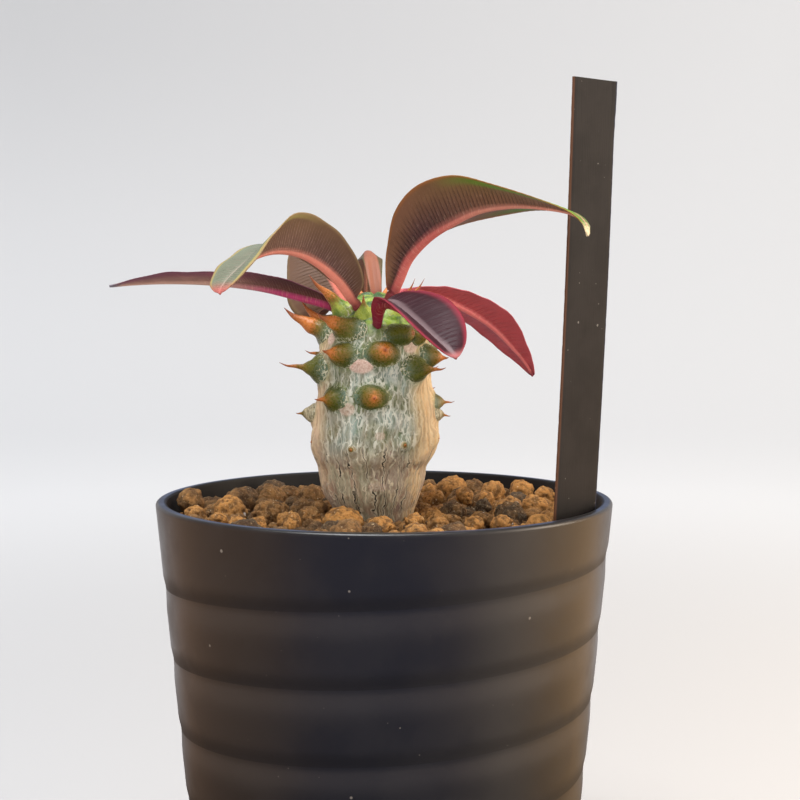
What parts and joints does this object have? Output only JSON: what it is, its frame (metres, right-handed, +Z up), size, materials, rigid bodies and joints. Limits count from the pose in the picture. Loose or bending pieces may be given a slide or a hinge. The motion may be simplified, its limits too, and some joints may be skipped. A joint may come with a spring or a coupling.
{
  "type": "potted pachypodium",
  "caption": "Young pachypodium with a spiny swollen trunk and arching red-brown leaves, in a round black nursery pot filled with clay granules, with a blank plant label.",
  "frame": {"origin": "centre of the pot's underside", "axes": "+Z up along the pot's axis, -Y towards the viewer of the picture, +X towards the plant label"},
  "size_m": [0.0835, 0.0748, 0.1412],
  "materials": {
    "pot": "satin black",
    "soil": "porous, dull",
    "stem": "corky bark with green cushions",
    "label": "matt black",
    "leaf_right_arching": "downy, red-brown",
    "leaf_left_arching": "downy, red-brown",
    "leaf_left_long": "downy, crimson-brown",
    "leaf_back_left": "downy, olive-brown",
    "leaf_back_middle": "downy, olive-brown",
    "leaf_right_back": "smooth, crimson",
    "leaf_front": "glossy, dark purple"
  },
  "bodies": {
    "root": {"pot": "pot", "soil": "soil", "stem": "stem", "label": "label", "leaf_right_arching": "leaf_right_arching", "leaf_left_arching": "leaf_left_arching", "leaf_left_long": "leaf_left_long", "leaf_back_left": "leaf_back_left", "leaf_back_middle": "leaf_back_middle", "leaf_right_back": "leaf_right_back", "leaf_front": "leaf_front"}
  },
  "joints": []
}
